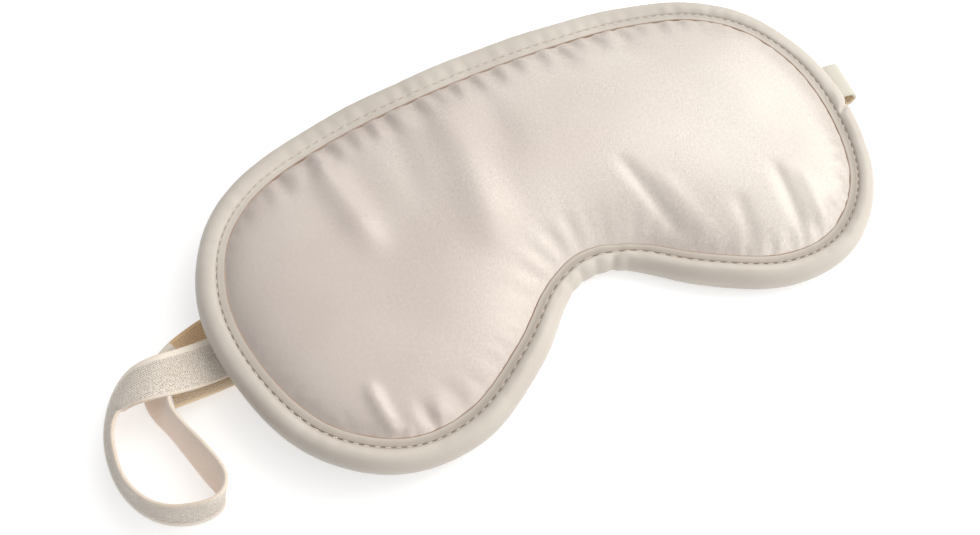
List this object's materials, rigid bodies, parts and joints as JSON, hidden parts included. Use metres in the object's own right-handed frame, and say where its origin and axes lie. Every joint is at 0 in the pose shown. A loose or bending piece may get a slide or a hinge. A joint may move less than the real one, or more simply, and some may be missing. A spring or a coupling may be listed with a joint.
{
  "type": "sleep mask",
  "caption": "Padded satin eye mask with a bound edge, a nose notch and an elastic head strap that lies looped at one side and runs back under the mask.",
  "frame": {"origin": "bottom centre of the whole object's bounding box, on the surface that it lies on", "axes": "+X along the mask towards its right end, away from the strap's loop; +Y from the nose notch towards the forehead edge; +Z out of the front cover, away from the face"},
  "size_m": [0.2392, 0.1144, 0.0153],
  "materials": {
    "satin": "satin",
    "binding": "satin",
    "wadding": "matt",
    "blackout": "matt",
    "elastic": "matt",
    "thread": "matt"
  },
  "bodies": {
    "left_lobe": {"back_cover_left": "satin", "bar_tack_left": "thread", "binding_left": "binding", "blackout_layer_left": "blackout", "front_cover_left": "satin", "front_wadding_left": "wadding", "rear_wadding_left": "wadding", "strap_anchor_left": "elastic", "strap_run_entry": "elastic", "strap_run_left": "elastic", "strap_tail_left": "elastic", "topstitch_back_left": "thread", "topstitch_front_left": "thread"},
    "right_lobe": {"back_cover_right": "satin", "bar_tack_right": "thread", "binding_lap": "binding", "binding_right": "binding", "blackout_layer_right": "blackout", "front_cover_right": "satin", "front_wadding_right": "wadding", "rear_wadding_right": "wadding", "strap_fold_right": "elastic", "strap_run_right": "elastic", "topstitch_back_right": "thread", "topstitch_front_right": "thread"},
    "strap_base": {"strap_hinge_lower": "elastic", "strap_hinge_upper": "elastic"},
    "strap_loop": {"strap_corner": "elastic", "strap_leaving_left": "elastic", "strap_loop_bottom": "elastic", "strap_loop_side": "elastic", "strap_loop_turn": "elastic", "strap_return_outer": "elastic", "strap_return_under": "elastic"}
  },
  "joints": [
    {"name": "bridge_fold", "type": "hinge", "parent": "left_lobe", "child": "right_lobe", "pos_m": [0.01413, -0.00025, 0], "axis": [0, 1, 0], "range_deg": [0, 150], "stiffness_Nm_per_rad": 0.001},
    {"name": "strap_swing", "type": "hinge", "parent": "left_lobe", "child": "strap_base", "pos_m": [-0.08837, -0.00455, 0.0029], "axis": [0, 1, 0], "range_deg": [-90, 60], "stiffness_Nm_per_rad": 0.0004},
    {"name": "strap_stretch", "type": "slide", "parent": "strap_base", "child": "strap_loop", "axis": [-1, 0, 0], "range_m": [0, 0.04], "stiffness_N_per_m": 60}
  ]
}
